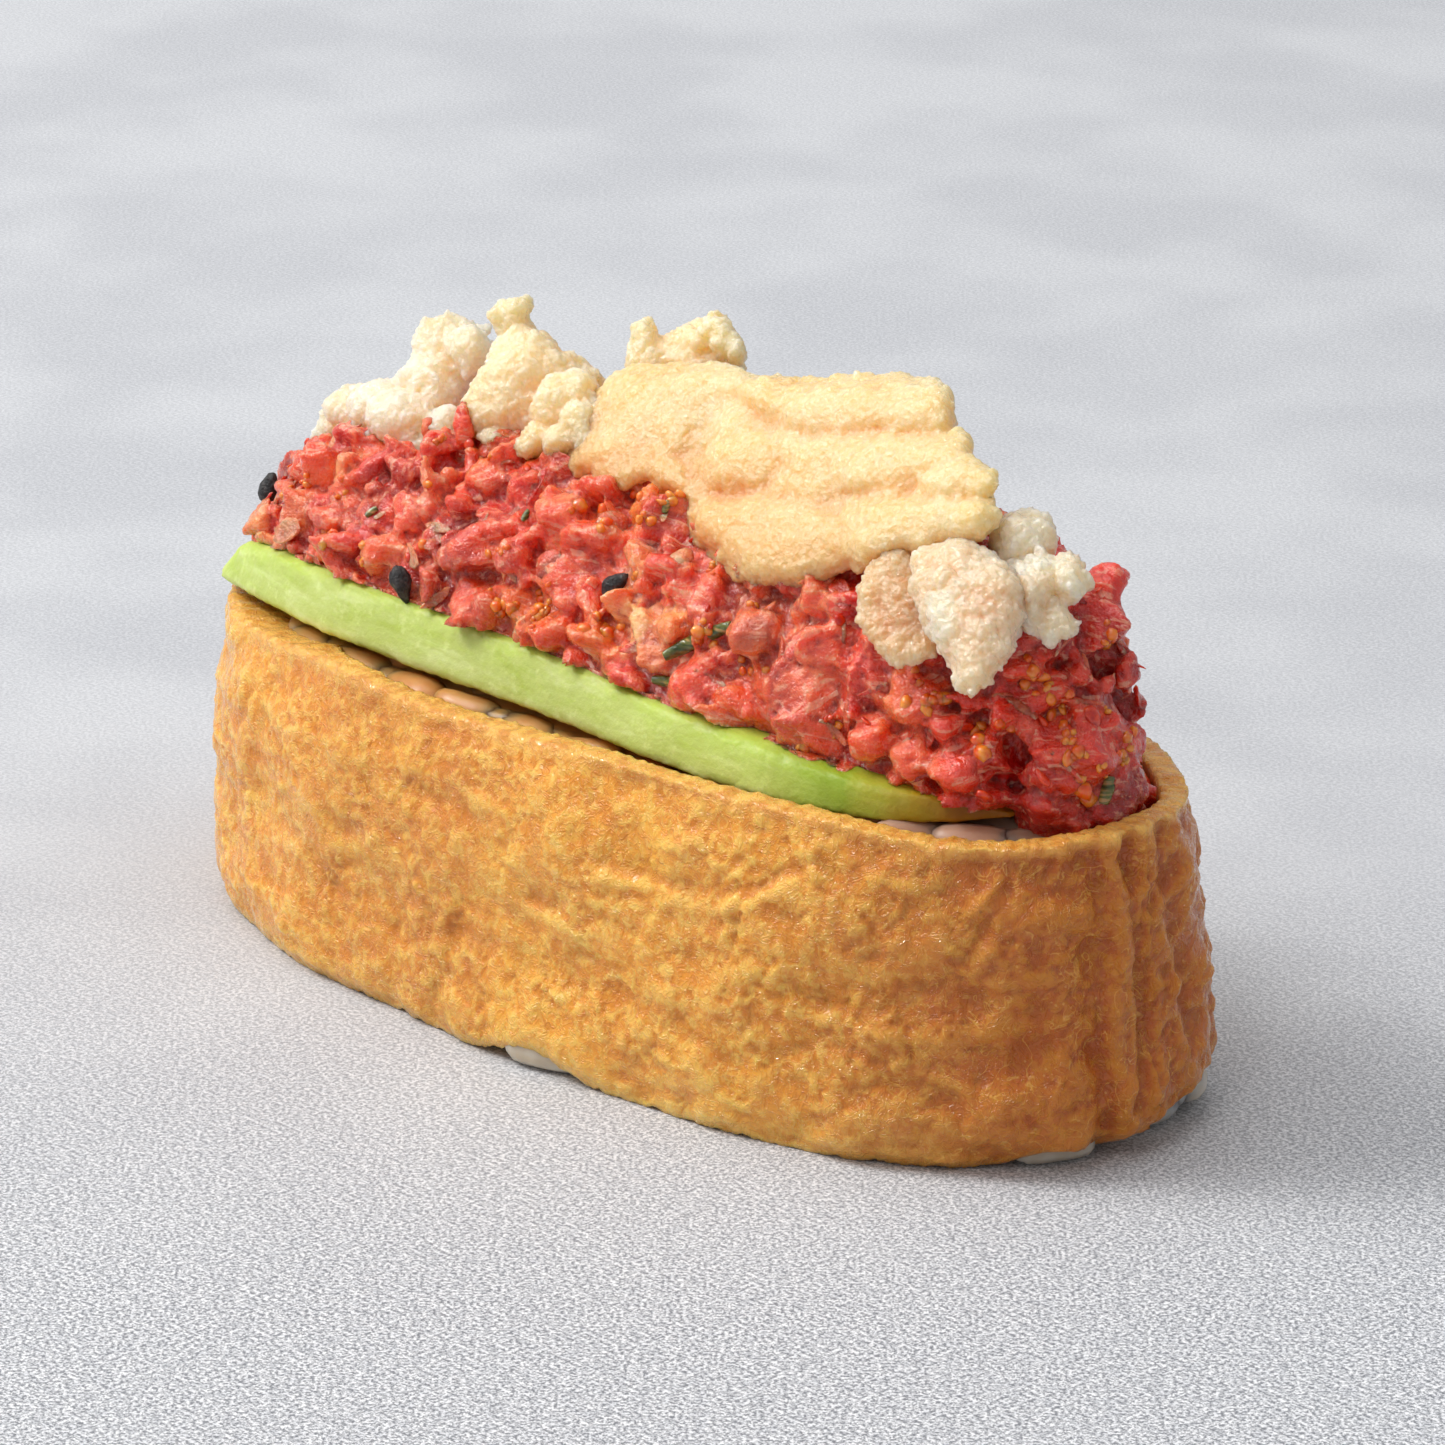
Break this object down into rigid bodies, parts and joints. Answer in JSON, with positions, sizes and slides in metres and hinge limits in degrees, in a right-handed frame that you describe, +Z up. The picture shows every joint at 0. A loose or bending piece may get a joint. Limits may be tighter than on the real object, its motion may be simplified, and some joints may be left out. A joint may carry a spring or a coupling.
{
  "type": "inari sushi",
  "caption": "Open inari sushi: a fried tofu band round a block of rice, topped with an avocado slice, chopped spicy tuna and puffed tempura crisps.",
  "frame": {"origin": "middle of the bounding box's base, on the surface the piece stands on", "axes": "+X along the band towards its pleated end, -Y towards the avocado side, +Z up"},
  "size_m": [0.077, 0.036, 0.0415],
  "materials": {
    "tofu": "moist fried tofu skin, satin with glossy patches",
    "rice": "cooked rice, moist and slightly translucent",
    "avocado": "ripe avocado flesh, soft satin",
    "tuna": "raw chopped tuna in chilli sauce, wet and glossy",
    "crisp": "puffed fried batter, crisp and slightly oily"
  },
  "bodies": {
    "root": {"tofu_band": "tofu", "rice": "rice", "avocado_slice": "avocado", "tuna_tartare": "tuna", "crisp_main": "crisp", "crisp_peak": "crisp", "crisp_left": "crisp", "crisp_back": "crisp", "crisp_nugget": "crisp", "crisp_flake": "crisp", "crisp_small": "crisp"}
  },
  "joints": []
}
